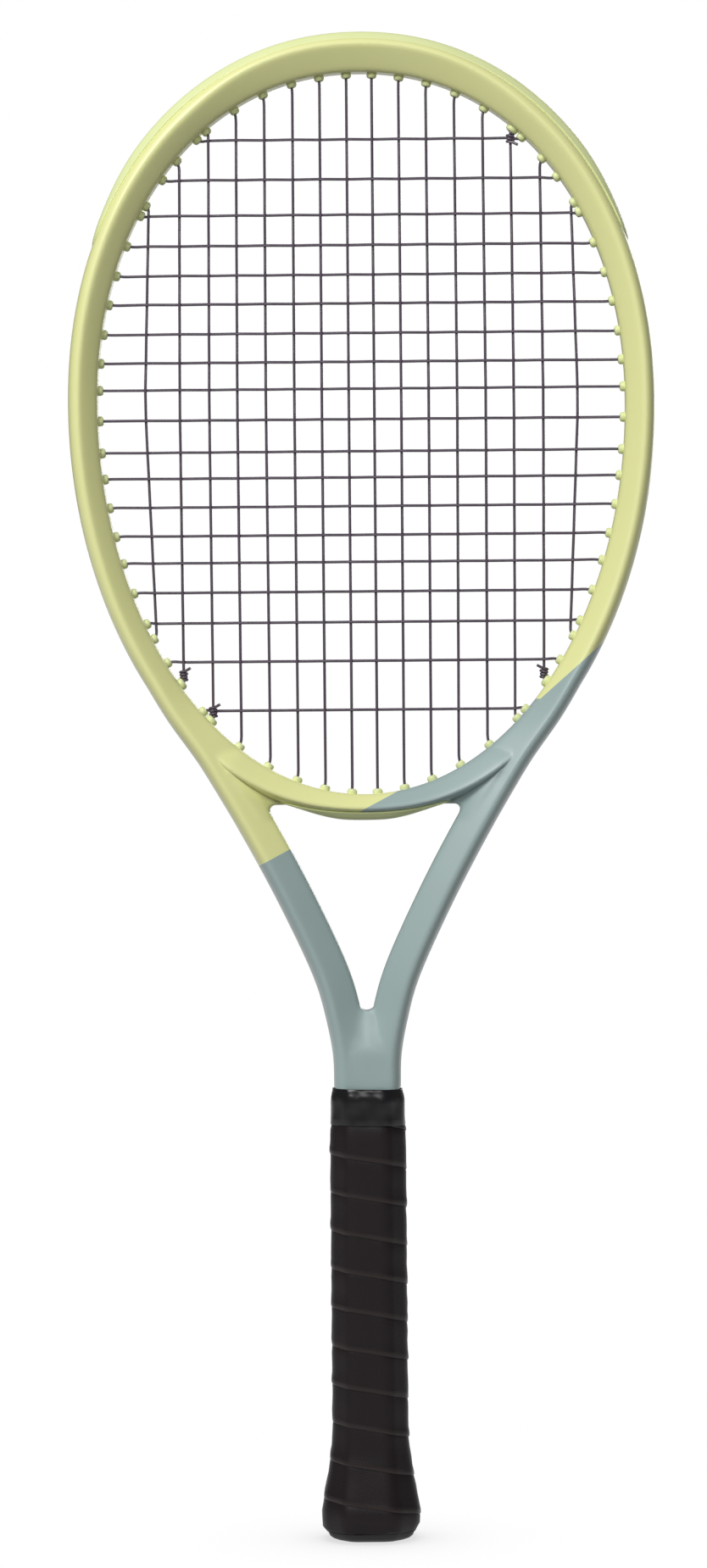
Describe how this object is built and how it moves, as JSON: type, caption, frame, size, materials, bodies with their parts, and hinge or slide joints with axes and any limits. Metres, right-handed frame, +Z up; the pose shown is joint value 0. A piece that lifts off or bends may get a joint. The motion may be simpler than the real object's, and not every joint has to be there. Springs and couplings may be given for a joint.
{
  "type": "tennis racket",
  "caption": "Strung adult tennis racket with an open throat, pale lime and grey-teal frame, black wound grip and dark strings.",
  "frame": {"origin": "middle of the butt's end face", "axes": "+Z runs up the handle to the tip of the head; the strings lie in the XZ plane; the front face looks along -Y"},
  "size_m": [0.2672, 0.04, 0.6858],
  "materials": {
    "lime_paint": "gloss",
    "teal_paint": "gloss",
    "lime_plastic": "satin",
    "string_plastic": "satin",
    "handle_plastic": "matte",
    "grip_leather": "matte",
    "tape_film": "gloss",
    "staple_steel": "satin"
  },
  "bodies": {
    "racket": {"frame_tube": "lime_paint", "throat_bridge": "teal_paint", "bumper_guard": "lime_plastic", "grommet_strip_left": "lime_plastic", "grommet_strip_right": "lime_plastic", "grommet_strip_throat": "lime_plastic", "main_string": "string_plastic", "cross_string": "string_plastic", "grip": "grip_leather", "finishing_tape": "tape_film", "pallet_front": "handle_plastic", "pallet_back": "handle_plastic", "butt_cap": "handle_plastic", "butt_cap_staple_1": "staple_steel", "butt_cap_staple_2": "staple_steel", "butt_cap_staple_3": "staple_steel", "butt_cap_staple_4": "staple_steel"},
    "door": {"trap_door": "handle_plastic"}
  },
  "joints": [
    {"name": "trap_door_slide", "type": "slide", "parent": "racket", "child": "door", "axis": [0, 0, -1], "range_m": [0, 0.009]}
  ]
}
